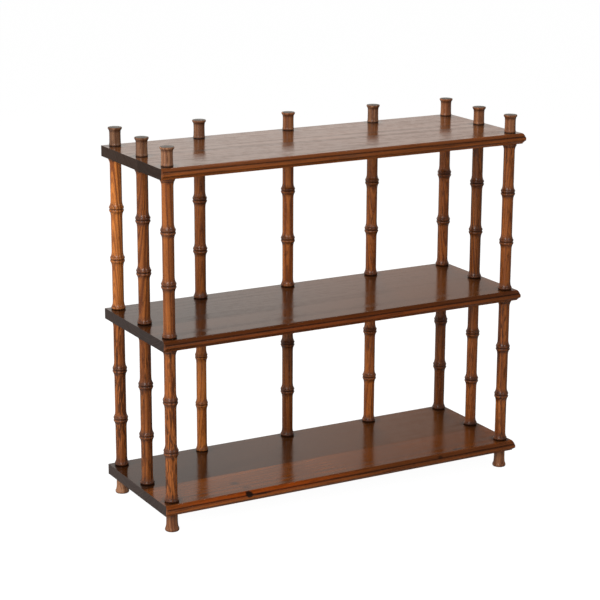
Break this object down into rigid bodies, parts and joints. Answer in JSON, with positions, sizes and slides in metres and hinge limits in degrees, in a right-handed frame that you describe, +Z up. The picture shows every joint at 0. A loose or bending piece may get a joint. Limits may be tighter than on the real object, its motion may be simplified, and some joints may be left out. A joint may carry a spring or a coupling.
{
  "type": "three-tier shelf",
  "caption": "Open wooden shelf with moulded front edges, its tiers held apart by turned faux-bamboo spindles, with finials on top and short flared feet.",
  "frame": {"origin": "on the floor, under the middle of the outline of the boards", "axes": "+X along the boards to the viewer's right when facing the moulded front edge, +Y from the front edge to the back edge, +Z up"},
  "size_m": [0.8, 0.282, 0.745],
  "materials": {
    "shelf_boards": "semi-gloss dark reddish-brown stain and varnish",
    "lower_spindles": "semi-gloss reddish-brown stain and varnish",
    "upper_spindles": "semi-gloss reddish-brown stain and varnish",
    "finials": "semi-gloss dark brown stain and varnish",
    "feet": "semi-gloss dark brown stain and varnish"
  },
  "bodies": {
    "root": {"bottom_shelf_front_board": "shelf_boards", "bottom_shelf_back_board": "shelf_boards", "middle_shelf_front_board": "shelf_boards", "middle_shelf_back_board": "shelf_boards", "top_shelf_front_board": "shelf_boards", "top_shelf_back_board": "shelf_boards", "lower_spindle_back_left": "lower_spindles", "upper_spindle_back_left": "upper_spindles", "finial_back_left": "finials", "lower_spindle_front_left": "lower_spindles", "upper_spindle_front_left": "upper_spindles", "finial_front_left": "finials", "lower_spindle_back_right": "lower_spindles", "upper_spindle_back_right": "upper_spindles", "finial_back_right": "finials", "lower_spindle_front_right": "lower_spindles", "upper_spindle_front_right": "upper_spindles", "finial_front_right": "finials", "lower_spindle_middle_left": "lower_spindles", "upper_spindle_middle_left": "upper_spindles", "finial_middle_left": "finials", "lower_spindle_middle_right": "lower_spindles", "upper_spindle_middle_right": "upper_spindles", "finial_middle_right": "finials", "lower_spindle_back_inner_left": "lower_spindles", "upper_spindle_back_inner_left": "upper_spindles", "finial_back_inner_left": "finials", "lower_spindle_back_centre": "lower_spindles", "upper_spindle_back_centre": "upper_spindles", "finial_back_centre": "finials", "lower_spindle_back_inner_right": "lower_spindles", "upper_spindle_back_inner_right": "upper_spindles", "finial_back_inner_right": "finials", "foot_back_left": "feet", "foot_front_left": "feet", "foot_back_right": "feet", "foot_front_right": "feet"}
  },
  "joints": []
}
